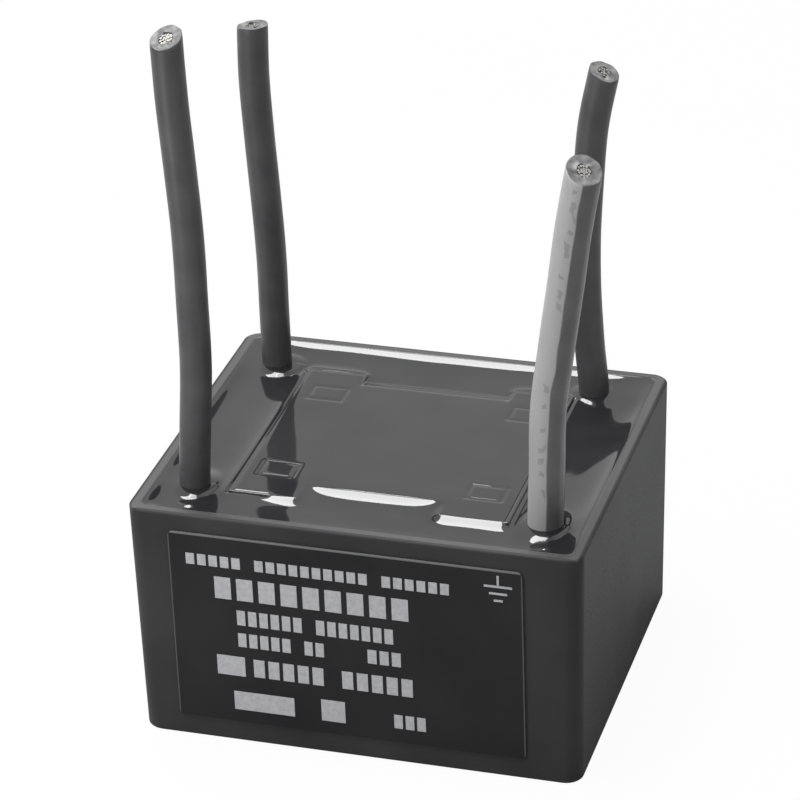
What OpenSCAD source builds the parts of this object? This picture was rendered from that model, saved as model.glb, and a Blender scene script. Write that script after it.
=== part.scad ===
// Potted surge protective device: an open-topped moulded box filled with epoxy resin.
// Three varistors, three thermal fuses and a gas discharge tube stand on a circuit board in it.
// Four stiff insulated leads come out of the resin near the corners and end in slanted cuts.
// Origin: middle of the box's underside. +X right, +Z up, the labelled front face looks along -Y.

/* [Case] */
// Width of the case at its rim
case_w = 41; // [37:0.5:48]
// Depth of the case at its rim
case_d = 35; // [31.5:0.5:44]
// Height of the case
case_h = 23; // [20.5:0.5:26]
// Thickness of the walls at the rim
wall_t = 1.2; // [0.8:0.1:1.4]
// Thickness of the floor
floor_t = 1.2; // [0.8:0.1:1.6]
// How much each outer wall leans in over the whole height
draft = 0.3; // [0.05:0.05:0.6]
// Outer radius of the four upright corners
corner_r = 1.5; // [1:0.1:3]
// Inner radius of the four upright corners
inner_corner_r = 0.6; // [0.4:0.1:2]
// Radius of the edge around the underside
base_edge_r = 0.4; // [0.2:0.1:0.8]
// Radius of the rim's outer edge
rim_edge_r = 0.25; // [0.1:0.05:0.4]
// Height of the ribs that carry the circuit board above the floor
seat_h = 1.5; // [1.2:0.1:2]
// Length of each of those ribs along its wall
seat_w = 5; // [3:0.5:8]

/* [Resin] */
// Depth of the resin's surface below the rim
fill_drop = 0.9; // [0.6:0.1:1.6]

/* [Holder] */
// Thickness of the walls at the two ends of the varistor bays
bay_wall_t = 1; // [0.8:0.1:1.4]
// Thickness of the walls between and beside the varistor bays
partition_t = 0.8; // [0.6:0.1:1]
// Room at each end of a bay past the varistor's edge
bay_gap = 1.05; // [0.6:0.05:1.4]
// Distance of the middle of the bays behind the middle of the case
bay_y = 0; // [-1:0.05:1.2]
// Width of the openings at the foot of the walls that the resin flows through
flow_w = 4; // [2:0.5:6]
// Height of those openings
flow_h = 2; // [1:0.25:4]
// Width of the head of each post that holds the cover
head_w = 2.8; // [2.4:0.1:3.2]
// Depth of the head of each post
head_d = 2; // [1.6:0.1:2.4]
// Thickness of the head of each post
head_t = 0.35; // [0.2:0.05:0.5]
// How far the head reaches past the post's neck on each side
head_lip = 0.3; // [0.2:0.05:0.5]
// How far each post stands clear of the inside of the varistor bays
post_inset = 0.15; // [0:0.05:0.3]
// Distance of the two front posts from the middle of the bays
post_front = 7.35; // [7:0.05:9]
// Distance of the two back posts from the middle of the bays
post_back = 7.4; // [7:0.05:9]

/* [Cover] */
// How far the cover reaches past the thermal fuses on each side
cover_side = 0.15; // [0:0.05:0.4]
// Thickness of the cover plate
cover_t = 1.5; // [1.2:0.1:1.7]
// Depth of the cover's top face below the rim
cover_drop = 0.25; // [0.15:0.05:0.5]
// Reach of the two front tabs past the middle of the cover
tab_front = 2.35; // [1:0.05:4.5]
// Reach of the two back tabs past the middle of the cover
tab_back = 2.15; // [1:0.05:3.3]
// Width of the recess between the front tabs
recess_front_w = 12.8; // [8:0.1:14]
// Width of the recess between the back tabs
recess_back_w = 14; // [8:0.1:14.5]
// Gap around a post's head in its recess
window_gap = 0.3; // [0.15:0.05:0.4]

/* [Circuit board] */
// Thickness of the circuit board
board_t = 1.6; // [1:0.1:1.8]
// Gap between the board's edge and the case's inner wall
board_gap = 1.3; // [0.8:0.1:1.6]
// How far the ribs reach in under the board's edge
seat_reach = 1; // [0.5:0.1:1.5]
// Thickness of the copper tracks, drawn thicker than they are
track_t = 0.1; // [0.05:0.05:0.2]
// Width of the copper tracks
track_w = 1.2; // [0.8:0.1:1.4]
// How far the second line's track leads behind its fuse's returning wire before it turns
turn_left = 2.2; // [1.8:0.1:2.4]
// How far the third line's track leads behind its fuse's returning wire before it turns
turn_right = 3; // [2:0.1:3.6]
// Distance of the common star track in front of the varistors' front legs
star_reach = 3.2; // [2:0.1:4]
// Radius of the copper pads
pad_r = 1.1; // [0.9:0.05:1.3]
// Height of the solder cones
solder_h = 0.7; // [0.4:0.1:0.8]
// Width of the solder around a wire at the cone's tip
solder_tip = 0.15; // [0.1:0.05:0.2]
// Width of bare copper around a cone's foot
solder_rim = 0.1; // [0.05:0.05:0.2]
// How far a wire reaches past its solder cone
wire_tail = 0.15; // [0.05:0.05:0.25]
// Diameter of the component wires
wire_d = 0.8; // [0.5:0.1:0.9]

/* [Varistors] */
// Gap between the varistors and the cover above them: with the case's height it sets their diameter
disc_top_gap = 1.15; // [0.5:0.05:2]
// Rounding of the coating's edge
disc_edge_r = 1.2; // [0.6:0.1:1.6]
// Height of the varistors above the board
disc_lift = 0.6; // [0.3:0.1:0.9]
// Distance between a varistor's two legs
leg_pitch = 7.5; // [5:0.5:8]
// How far a leg reaches up into the coating
leg_in = 4.5; // [3:0.25:6]

/* [Thermal fuses] */
// Diameter of a thermal fuse
fuse_d = 3.6; // [3:0.1:3.8]
// Length of a thermal fuse's metal case
fuse_l = 9; // [7:0.5:10]
// Length of the cone of sealing resin on its end
fuse_cone_l = 1.5; // [1:0.1:2]
// Diameter of that cone at its tip
fuse_tip_d = 1.4; // [1:0.1:2]
// Height of the fuses above the board
fuse_lift = 1; // [0.5:0.1:1.4]
// Height of a fuse's upper wire above its cone, to the bend
fuse_bend = 1.2; // [0.8:0.1:2]
// Distance from a fuse's axis to its returning wire
fuse_loop = 3; // [2.6:0.1:3.2]
// Gap between a fuse and the holder's wall
fuse_gap = 0.2; // [0.1:0.05:0.3]
// Distance of the first fuse in front of the middle of the bays
fuse_front = 4.15; // [3.6:0.05:4.2]
// Distance of the second fuse behind the middle of the bays
fuse_back_left = 1.95; // [1.4:0.05:2.2]
// Distance of the third fuse behind the middle of the bays
fuse_back_right = 2.05; // [1.4:0.05:2.2]

/* [Gas discharge tube] */
// Diameter of the tube's end caps
tube_d = 5.5; // [4.5:0.1:5.6]
// Gap on each side of the tube, to the cover's side and to the case's wall
tube_gap = 0.525; // [0.3:0.025:1]
// Depth of the ceramic's waist below the rims of the caps
tube_waist = 0.25; // [0.05:0.05:0.5]
// Length of the tube over its caps
tube_l = 6; // [5:0.25:7]
// Thickness of each end cap
tube_cap_t = 1; // [0.6:0.1:1.5]
// Height of the tube above the board
tube_lift = 0.4; // [0.2:0.1:1]
// Straight length of each wire before it bends down
tube_wire_l = 2.5; // [2:0.25:3.5]

/* [Leads] */
// Outer diameter of a line lead's insulation
lead_d = 2.8; // [2.4:0.1:3]
// Outer diameter of the earth lead's insulation
earth_d = 3.15; // [2.4:0.05:3.2]
// Diameter of a lead's stranded conductor
core_d = 1.2; // [0.8:0.1:1.4]
// Height above the board at which the insulation ends
strip_h = 2.2; // [1.5:0.1:4]
// Distance of the two left leads from the cover's side
lead_left = 3.45; // [1.6:0.05:4.9]
// Distance of the back right lead from the cover's side
lead_right = 1.45; // [1.45:0.05:4.9]
// Distance of the earth lead from the cover's side
lead_earth = 3.05; // [1.6:0.05:4.9]
// Distance of the two front leads from the front inner wall
lead_front = 5.3; // [2.7:0.1:6]
// Distance of the back left lead from the back inner wall
lead_back_left = 3.5; // [2.7:0.1:5]
// Distance of the back right lead from the back inner wall
lead_back_right = 2.7; // [2.7:0.1:5]

/* [Label] */
// Margin between the label and the case's left side
label_left = 3.9; // [3:0.1:6]
// Margin between the label and the case's right side
label_right = 5.1; // [3:0.1:7]
// Margin between the label and the underside
label_bottom = 2.3; // [1.5:0.1:4]
// Margin between the label and the rim
label_top = 1.7; // [1:0.1:4]
// Thickness of the label
label_t = 0.2; // [0.1:0.05:0.3]
// Rounding of the label's corners
label_r = 0.5; // [0.2:0.1:1.5]
// Thickness of the print
print_t = 0.05; // [0.03:0.01:0.1]
// Share of a block's pitch that the block itself fills
block_share = 0.74; // [0.5:0.01:0.9]

/* [Hidden] */

// Facets of the round forms, and of the wires
round_fn = 48;
wire_fn = 24;
// Sides of the swept leads
lead_sides = 8;
// Steps in the rounding of the case's edges
edge_steps = 3;
// A cut reaches this much past the face that it opens
past = 1;
// Thickness of each thin level that the case's outside is drawn around
level_t = 0.001;

// Heights of the main levels
board_z = floor_t + seat_h;
board_top = board_z + board_t;
cover_top = case_h - cover_drop;
cover_z = cover_top - cover_t;
fill_z = case_h - fill_drop;
joint_z = board_z - track_t - solder_h;
tail_z = joint_z - wire_tail;

// The inside of the case, and the cover between two channels for the leads and the gas tube
inner_w = case_w - 2 * wall_t;
inner_d = case_d - 2 * wall_t;
channel_w = tube_d + 2 * tube_gap;
cover_w = inner_w - 2 * channel_w;

// The varistors are as large as the height allows, and as thick as the bays allow
disc_bottom = board_top + disc_lift;
disc_d = cover_z - disc_top_gap - disc_bottom;
disc_z = disc_bottom + disc_d / 2;
bay_half_w = cover_w / 2 - cover_side - fuse_d - fuse_gap;
disc_t = (2 * bay_half_w - 4 * partition_t) / 3;
disc_pitch = disc_t + partition_t;
bay_half_l = disc_d / 2 + bay_gap + bay_wall_t;

// The posts that hold the cover: their necks pass through it, and their heads sit on a ledge
// at the level of the resin
post_x = bay_half_w - partition_t + post_inset + head_w / 2;
post_ys = [bay_y - post_front, bay_y + post_back];
neck_w = head_w - 2 * head_lip;
neck_d = head_d - 2 * head_lip;
ledge_z = fill_z;

// The thermal fuses beside the bays: [x, y of the body, y of the returning wire]
fuse_x = bay_half_w + fuse_gap + fuse_d / 2;
fuse_places = [
    for (f = [[-fuse_x, -fuse_front], [-fuse_x, fuse_back_left], [fuse_x, fuse_back_right]])
        [f[0], bay_y + f[1], bay_y + f[1] + fuse_loop]
];
fuse_z = board_top + fuse_lift;
fuse_top = fuse_z + fuse_l + fuse_cone_l;
fuse_bend_z = fuse_top + fuse_bend;

// The gas discharge tube in the middle of the right-hand channel
tube_x = cover_w / 2 + channel_w / 2;
tube_z = board_top + tube_lift + tube_d / 2;
tube_wire_y = tube_l / 2 + tube_wire_l;

// Where wires pass through the board
leg_places = [for (k = [-1, 0, 1]) for (s = [-1, 1]) [k * disc_pitch, bay_y + s * leg_pitch / 2]];
fuse_pads = [for (f = fuse_places) for (y = [f[1], f[2]]) [f[0], y]];
tube_pads = [for (s = [-1, 1]) [tube_x, bay_y + s * tube_wire_y]];
wire_pads = concat(leg_places, fuse_pads, tube_pads);

// Each lead's way: foot of the core, end of the insulation, way out of the resin, then up to the
// cut by points measured from that way out
strip_z = board_top + strip_h;
side_x = cover_w / 2;
end_y = inner_d / 2;
function lead_way(x, y, rest) = concat([[x, y, tail_z], [x, y, strip_z], [x, y, fill_z]],
                                       [for (p = rest) [x, y, fill_z] + p]);
way_1 = lead_way(-side_x - lead_left, -end_y + lead_front,
    [[0.4, -0.2, 5.9], [0.9, -0.4, 12.4], [1, -0.6, 18.9], [1, -0.7, 24.9], [0.8, -0.9, 30.9],
     [0.5, -1.1, 37.4], [0.4, -1.3, 43.5]]);
way_2 = lead_way(-side_x - lead_left, end_y - lead_back_left,
    [[0.1, -0.4, 5.9], [0.2, -0.7, 11.9], [0.1, -1.1, 17.9], [-0.1, -1.4, 23.9],
     [-0.2, -1.8, 29.9], [0, -2.1, 35.4]]);
way_3 = lead_way(side_x + lead_right, end_y - lead_back_right,
    [[-0.4, 0, 5.4], [-0.7, 0, 10.9], [-0.7, 0, 16.4], [-0.4, 0, 21.9], [0.1, 0, 27.4],
     [1.1, 0, 32.5]]);
way_e = lead_way(side_x + lead_earth, -end_y + lead_front,
    [[0.25, -0.2, 5.9], [0.5, -0.5, 11.9], [1.3, -0.7, 17.9], [2.2, -0.9, 23.9],
     [3, -1.2, 29.4], [4, -1.4, 35]]);
lead_ways = [way_1, way_2, way_3, way_e];
lead_ds = [lead_d, lead_d, lead_d, earth_d];
// How much each cut rises along X and Y, for each millimetre across the lead
cut_1 = [0.15, 0.42];
cut_2 = [0.15, -0.1];
cut_3 = [-0.2, 0.15];
cut_e = [-0.2, 0.35];
lead_pads = [for (w = lead_ways) [w[0].x, w[0].y]];

// The label fills the front face up to its margins
label_w = case_w - label_left - label_right;
label_h = case_h - label_bottom - label_top;

// The print is laid out on a sheet of this width and height, and drawn as large as the label
art_w = 32;
art_h = 19;
// Rows of plain blocks: [left end, foot, pitch, height, blocks in each group]
print_rows = [
    [1.6, 15.95, 1.05, 1.1, [5, 10, 6]],
    [4.1, 12.75, 2.02, 2.2, [9]],
    [6, 10.2, 1.04, 1.5, [6, 7]],
    [6, 7.95, 1.02, 1.4, [5, 2]],
    [17.9, 7.95, 1.1, 1.4, [3]],
    [7.3, 4.95, 1.36, 1.8, [5, 5]],
    [20.1, 1.5, 1.05, 1.4, [3]],
];
// Plain fields: [left end, foot, width, height]
print_fields = [
    [3.9, 4.85, 2.6, 2],
    [5.3, 1.3, 5.6, 1.9],
    [13.4, 1.3, 2.2, 2.2],
];
// The earth mark: its middle, its foot, each bar's width and height above the foot, its stem
mark_x = 29.85;
mark_z = 15.9;
mark_bars = [[0.8, 0], [1.6, 0.7], [2.5, 1.4]];
mark_line = 0.2;
mark_stem = 1;

// A rectangle with rounded corners
module round_rect(w, d, r) {
    square([w - 2 * r, d], center = true);
    square([w, d - 2 * r], center = true);
    for (x = [-1, 1], y = [-1, 1])
        translate([x * (w / 2 - r), y * (d / 2 - r)]) circle(r, $fn = round_fn);
}

// One thin level of the case's outside: its lean at height z, and pulled in at an edge
module case_level(z, pull) {
    in = draft * (1 - z / case_h) + pull;
    translate([0, 0, z]) linear_extrude(level_t)
        round_rect(case_w - 2 * in, case_d - 2 * in, corner_r);
}

// The case's outside, with rounded edges around the underside and the rim
module case_body() {
    hull() {
        for (k = [0:edge_steps]) {
            a = 90 * k / edge_steps;
            case_level(base_edge_r * (1 - cos(a)), base_edge_r * (1 - sin(a)));
            case_level(case_h - level_t - rim_edge_r * (1 - cos(a)), rim_edge_r * (1 - sin(a)));
        }
    }
}

// The inside of the case, from its floor up to height z
module cavity(z) {
    translate([0, 0, floor_t]) linear_extrude(z - floor_t)
        round_rect(inner_w, inner_d, inner_corner_r);
}

// Four ribs that carry the board's edges, one at the middle of each wall
module board_seats() {
    reach = board_gap + seat_reach;
    for (s = [-1, 1]) {
        translate([-seat_w / 2, s * (inner_d / 2 - reach / 2) - reach / 2, floor_t])
            cube([seat_w, reach, seat_h]);
        translate([s * (inner_w / 2 - reach / 2) - reach / 2, bay_y - seat_w / 2, floor_t])
            cube([reach, seat_w, seat_h]);
    }
}

module case_shell() {
    color([0.13, 0.13, 0.135]) {
        difference() {
            case_body();
            cavity(case_h + past);
        }
        board_seats();
    }
}

// The holder's walls, seen from above: end walls, side walls and partitions
module holder_walls() {
    for (s = [-1, 1]) {
        translate([-bay_half_w, bay_y + s * (bay_half_l - bay_wall_t / 2) - bay_wall_t / 2])
            square([2 * bay_half_w, bay_wall_t]);
        for (x = [bay_half_w - partition_t / 2, disc_pitch / 2])
            translate([s * x - partition_t / 2, bay_y - bay_half_l])
                square([partition_t, 2 * bay_half_l]);
    }
}

// A block centred at x, y, from height z0 to z1
module block(x, y, w, d, z0, z1) {
    translate([x - w / 2, y - d / 2, z0]) cube([w, d, z1 - z0]);
}

// One post: a shoulder under the cover, a neck through it and a staked head in its window
module post(x, y) {
    block(x, y, head_w, head_d, board_top, cover_z);
    block(x, y, neck_w, neck_d, cover_z, ledge_z);
    block(x, y, head_w, head_d, ledge_z, ledge_z + head_t);
}

module component_holder() {
    color([0.2, 0.2, 0.21])
    difference() {
        union() {
            translate([0, 0, board_top]) linear_extrude(cover_z - board_top) holder_walls();
            for (x = [-post_x, post_x], y = post_ys) post(x, y);
        }
        block(0, bay_y, 2 * bay_half_w + past, flow_w, board_top - past, board_top + flow_h);
    }
}

// The cover from above: a middle bar over the bays and two side bars with tabs at both ends
module cover_outline() {
    front = bay_y - bay_half_l;
    back = bay_y + bay_half_l;
    difference() {
        translate([-cover_w / 2, front - tab_front])
            square([cover_w, back - front + tab_front + tab_back]);
        translate([-recess_front_w / 2, front - tab_front - past])
            square([recess_front_w, tab_front + past]);
        translate([-recess_back_w / 2, back])
            square([recess_back_w, tab_back + past]);
    }
}

module holder_cover() {
    color([0.24, 0.24, 0.25])
    difference() {
        translate([0, 0, cover_z]) linear_extrude(cover_t) cover_outline();
        for (x = [-post_x, post_x], y = post_ys) {
            block(x, y, neck_w, neck_d, cover_z - past, cover_top + past);
            block(x, y, head_w + 2 * window_gap, head_d + 2 * window_gap, ledge_z, cover_top + past);
        }
    }
}

// Round wires and eight-sided cores where they pass through the board
module pad_holes(z0, z1) {
    for (p = wire_pads)
        translate([p.x, p.y, z0]) cylinder(h = z1 - z0, d = wire_d, $fn = wire_fn);
    for (p = lead_pads)
        translate([p.x, p.y, z0]) cylinder(h = z1 - z0, d = core_d, $fn = lead_sides);
}

module circuit_board() {
    color([0.16, 0.36, 0.22])
    difference() {
        block(0, 0, inner_w - 2 * board_gap, inner_d - 2 * board_gap, board_z, board_top);
        pad_holes(board_z - past, board_top + past);
    }
}

// One track as bars along its way, which turns only at right angles
module track(way) {
    for (i = [0:len(way) - 2]) {
        a = way[i];
        b = way[i + 1];
        translate([min(a.x, b.x) - track_w / 2, min(a.y, b.y) - track_w / 2])
            square([abs(a.x - b.x) + track_w, abs(a.y - b.y) + track_w]);
    }
}

// The circuit: each line through its fuse to its varistor, the varistors to a common star,
// and the star through the gas discharge tube to earth
module track_plan() {
    front_y = bay_y - leg_pitch / 2;
    back_y = bay_y + leg_pitch / 2;
    star_y = front_y - star_reach;
    f1 = fuse_places[0];
    f2 = fuse_places[1];
    f3 = fuse_places[2];
    turn_2 = f2[2] + turn_left;
    turn_3 = f3[2] + turn_right;
    star_x = (fuse_x + tube_x) / 2;
    track([lead_pads[0], [lead_pads[0].x, f1[1]], [f1[0], f1[1]]]);
    track([[f1[0], f1[2]], [-disc_pitch, f1[2]], [-disc_pitch, back_y]]);
    track([lead_pads[1], [lead_pads[1].x, f2[1]], [f2[0], f2[1]]]);
    track([[f2[0], f2[2]], [f2[0], turn_2], [0, turn_2], [0, back_y]]);
    track([lead_pads[2], [lead_pads[2].x, turn_3], [f3[0], turn_3], [f3[0], f3[2]]]);
    track([[f3[0], f3[1]], [disc_pitch, f3[1]], [disc_pitch, back_y]]);
    for (k = [-1, 0, 1]) track([[k * disc_pitch, front_y], [k * disc_pitch, star_y]]);
    track([[-disc_pitch, star_y], [star_x, star_y], [star_x, tube_pads[1].y], tube_pads[1]]);
    track([tube_pads[0], [tube_pads[0].x, lead_pads[3].y], lead_pads[3]]);
    for (p = concat(wire_pads, lead_pads)) translate(p) circle(pad_r, $fn = wire_fn);
}

module copper_tracks() {
    color([0.72, 0.45, 0.2])
    difference() {
        translate([0, 0, board_z - track_t]) linear_extrude(track_t) track_plan();
        pad_holes(board_z - track_t - past, board_z + past);
    }
}

module solder_joints() {
    color([0.75, 0.76, 0.78])
    difference() {
        for (p = concat(wire_pads, lead_pads))
            translate([p.x, p.y, joint_z])
                cylinder(h = solder_h, r1 = core_d / 2 + solder_tip, r2 = pad_r - solder_rim,
                         $fn = wire_fn);
        pad_holes(joint_z - past, board_z);
    }
}

// A varistor's disc stands on edge: its axis runs along X
module disc_form(k) {
    half = disc_t / 2;
    translate([k * disc_pitch, bay_y, disc_z]) rotate([0, 90, 0])
        rotate_extrude($fn = 2 * round_fn) {
            translate([0, -half]) square([disc_d / 2 - disc_edge_r, disc_t]);
            translate([0, -half + disc_edge_r]) square([disc_d / 2, disc_t - 2 * disc_edge_r]);
            for (s = [-1, 1])
                translate([disc_d / 2 - disc_edge_r, s * (half - disc_edge_r)])
                    intersection() {
                        circle(disc_edge_r, $fn = wire_fn);
                        translate([-disc_edge_r, -disc_edge_r])
                            square([2 * disc_edge_r, 2 * disc_edge_r]);
                    }
        }
}

module varistor_legs(k) {
    color([0.7, 0.7, 0.72])
    for (s = [-1, 1])
        translate([k * disc_pitch, bay_y + s * leg_pitch / 2, tail_z])
            cylinder(h = disc_bottom + leg_in - tail_z, d = wire_d, $fn = wire_fn);
}

module varistor(k) {
    color([0.16, 0.3, 0.5])
    difference() {
        disc_form(k);
        varistor_legs(k);
    }
}

// A wire that leaves (0, 0, z0) upwards, crosses over by run along Y and comes down to z1
module loop_wire(z0, z_bend, run, z1) {
    r = wire_d / 2;
    translate([0, 0, z0]) cylinder(h = z_bend - z0, r = r, $fn = wire_fn);
    for (y = [0, run]) translate([0, y, z_bend]) sphere(r, $fn = wire_fn);
    translate([0, 0, z_bend]) rotate([-90, 0, 0]) cylinder(h = run, r = r, $fn = wire_fn);
    translate([0, run, z1]) cylinder(h = z_bend - z1, r = r, $fn = wire_fn);
}

module thermal_fuse(i) {
    f = fuse_places[i];
    color([0.78, 0.74, 0.6])
    translate([f[0], f[1], 0]) {
        translate([0, 0, fuse_z]) cylinder(h = fuse_l, d = fuse_d, $fn = round_fn);
        translate([0, 0, fuse_z + fuse_l])
            cylinder(h = fuse_cone_l, r1 = fuse_d / 2, r2 = fuse_tip_d / 2, $fn = round_fn);
        translate([0, 0, tail_z]) cylinder(h = fuse_z - tail_z, d = wire_d, $fn = wire_fn);
        loop_wire(fuse_top, fuse_bend_z, f[2] - f[1], tail_z);
    }
}

module gas_tube_body() {
    color([0.9, 0.88, 0.84])
    translate([tube_x, bay_y, tube_z]) rotate([90, 0, 0])
        cylinder(h = tube_l - 2 * tube_cap_t, d = tube_d - 2 * tube_waist, center = true,
                 $fn = round_fn);
}

// The tube's two metal caps, each with its wire bent down through the board
module gas_tube_caps() {
    r = wire_d / 2;
    color([0.75, 0.75, 0.76])
    for (s = [-1, 1])
        translate([tube_x, bay_y, tube_z]) mirror([0, s > 0 ? 0 : 1, 0]) {
            translate([0, tube_l / 2 - tube_cap_t, 0]) rotate([-90, 0, 0])
                cylinder(h = tube_cap_t, d = tube_d, $fn = round_fn);
            translate([0, tube_l / 2, 0]) rotate([-90, 0, 0])
                cylinder(h = tube_wire_l, r = r, $fn = wire_fn);
            translate([0, tube_wire_y, 0]) sphere(r, $fn = wire_fn);
            translate([0, tube_wire_y, tail_z - tube_z])
                cylinder(h = tube_z - tail_z, r = r, $fn = wire_fn);
        }
}

// Everything that the resin flows around
module embedded() {
    holder_cover();
    component_holder();
    board_seats();
    block(0, 0, inner_w - 2 * board_gap, inner_d - 2 * board_gap, board_z, board_top);
    copper_tracks();
    solder_joints();
    pad_holes(tail_z, board_z);
    for (k = [-1, 0, 1]) {
        disc_form(k);
        varistor_legs(k);
    }
    for (i = [0:2]) thermal_fuse(i);
    gas_tube_body();
    gas_tube_caps();
    for (i = [0:3]) translate([lead_pads[i].x, lead_pads[i].y, 0]) {
        translate([0, 0, strip_z])
            cylinder(h = fill_z + past - strip_z, d = lead_ds[i], $fn = lead_sides);
        translate([0, 0, board_top])
            cylinder(h = strip_z - board_top, d = core_d, $fn = lead_sides);
    }
}

module potting_resin() {
    color([0.1, 0.1, 0.105])
    difference() {
        cavity(fill_z);
        embedded();
    }
}

// A lead's direction at point i: upright as far as the resin's surface, then along its way
function unit(v) = v / norm(v);
function lead_dir(way, i) = way[i].z <= fill_z ? [0, 0, 1]
    : unit(way[min(i + 1, len(way) - 1)] - way[i - 1]);

// The points of one ring of radius r around the way's point i, tipped to the cut at its end
function ring(way, i, r, cut) =
    let (t = lead_dir(way, i), u = unit([1, 0, 0] - t.x * t), v = cross(t, u),
         tip = i == len(way) - 1 ? cut : [0, 0])
    [for (k = [0:lead_sides - 1]) let (a = 360 * k / lead_sides)
        way[i] + r * (cos(a) * u + sin(a) * v + (tip.x * cos(a) + tip.y * sin(a)) * t)];

// The triangles of the wall between ring b and the next, both of n points
function wall_faces(b, n) =
    [for (k = [0:n - 1]) each
        [[b + k, b + n + k, b + n + (k + 1) % n], [b + k, b + n + (k + 1) % n, b + (k + 1) % n]]];
function turned(faces) = [for (f = faces) [f[2], f[1], f[0]]];

// A solid swept along a way
module core_sweep(way, r, cut) {
    n = lead_sides;
    m = len(way);
    points = [for (i = [0:m - 1]) each ring(way, i, r, cut)];
    walls = [for (i = [0:m - 2]) each wall_faces(i * n, n)];
    ends = [[for (k = [0:n - 1]) k], [for (k = [0:n - 1]) m * n - 1 - k]];
    polyhedron(points = points, faces = concat(walls, ends), convexity = 6);
}

// A tube swept along a way
module tube_sweep(way, r_out, r_in, cut) {
    n = lead_sides;
    m = len(way);
    outer = [for (i = [0:m - 1]) each ring(way, i, r_out, cut)];
    inner = [for (i = [0:m - 1]) each ring(way, i, r_in, cut)];
    walls = [for (i = [0:m - 2]) each wall_faces(i * n, n)];
    bores = [for (i = [0:m - 2]) each turned(wall_faces((m + i) * n, n))];
    foot = [for (k = [0:n - 1]) each
        [[k, (k + 1) % n, m * n + k], [(k + 1) % n, m * n + (k + 1) % n, m * n + k]]];
    top = [for (k = [0:n - 1]) let (a = (m - 1) * n, b = (2 * m - 1) * n) each
        [[a + (k + 1) % n, a + k, b + k], [b + (k + 1) % n, a + (k + 1) % n, b + k]]];
    polyhedron(points = concat(outer, inner), faces = concat(walls, bores, foot, top),
               convexity = 6);
}

// A lead's insulation, from its stripped end in the resin to the cut
module lead(way, d, cut, tint) {
    covered = [for (i = [1:len(way) - 1]) way[i]];
    color(tint) tube_sweep(covered, d / 2, core_d / 2, cut);
}

module lead_core(way, cut) {
    color([0.75, 0.7, 0.62]) core_sweep(way, core_d / 2, cut);
}

// Puts its children on the leaning front face: X right, Z up along the face, -Y outwards
module on_front() {
    translate([0, -case_d / 2 + draft, 0]) rotate([atan(draft / case_h), 0, 0])
        translate([label_left - case_w / 2, 0, label_bottom]) children();
}

module rating_label() {
    color([0.11, 0.11, 0.12])
    on_front() translate([label_w / 2, 0, label_h / 2]) rotate([90, 0, 0])
        linear_extrude(label_t) round_rect(label_w, label_h, label_r);
}

// A plain field of print, from the label's lower left corner, given as it is laid out
module field(x, z, w, h) {
    k = label_w / art_w;
    m = label_h / art_h;
    translate([k * x, -label_t - print_t, m * z]) cube([k * w, print_t, m * h]);
}

// How many pitches come before group g, counting one for each gap between groups
function pitches_before(groups, g) = g == 0 ? 0 : groups[g - 1] + 1 + pitches_before(groups, g - 1);

module label_print() {
    color([0.75, 0.75, 0.77])
    on_front() {
        for (row = print_rows, g = [0:len(row[4]) - 1], k = [0:row[4][g] - 1])
            field(row[0] + (pitches_before(row[4], g) + k) * row[2], row[1],
                  row[2] * block_share, row[3]);
        for (f = print_fields) field(f[0], f[1], f[2], f[3]);
    }
}

module earth_mark() {
    color([0.75, 0.75, 0.77])
    on_front() {
        for (b = mark_bars) field(mark_x - b[0] / 2, mark_z + b[1], b[0], mark_line);
        field(mark_x - mark_line / 2, mark_z + mark_bars[2][1] + mark_line, mark_line, mark_stem);
    }
}

dark = [0.27, 0.27, 0.28];
pale = [0.62, 0.62, 0.64];

case_shell();
potting_resin();
holder_cover();
component_holder();
circuit_board();
copper_tracks();
solder_joints();
varistor(-1);  // varistor_1
varistor(0);  // varistor_2
varistor(1);  // varistor_3
varistor_legs(-1);  // varistor_legs_1
varistor_legs(0);  // varistor_legs_2
varistor_legs(1);  // varistor_legs_3
thermal_fuse(0);  // thermal_fuse_1
thermal_fuse(1);  // thermal_fuse_2
thermal_fuse(2);  // thermal_fuse_3
gas_tube_body();
gas_tube_caps();
lead(way_1, lead_d, cut_1, dark);  // line_lead_1
lead(way_2, lead_d, cut_2, dark);  // line_lead_2
lead(way_3, lead_d, cut_3, dark);  // line_lead_3
lead(way_e, earth_d, cut_e, pale);  // earth_lead
lead_core(way_1, cut_1);  // line_lead_1_core
lead_core(way_2, cut_2);  // line_lead_2_core
lead_core(way_3, cut_3);  // line_lead_3_core
lead_core(way_e, cut_e);  // earth_lead_core
rating_label();
label_print();
earth_mark();
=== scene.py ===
"""Looks of the potted surge protective device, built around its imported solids."""

import math

import bmesh
import bpy
import numpy as np
from mathutils import Matrix, Vector, noise
from mathutils.geometry import delaunay_2d_cdt


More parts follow.
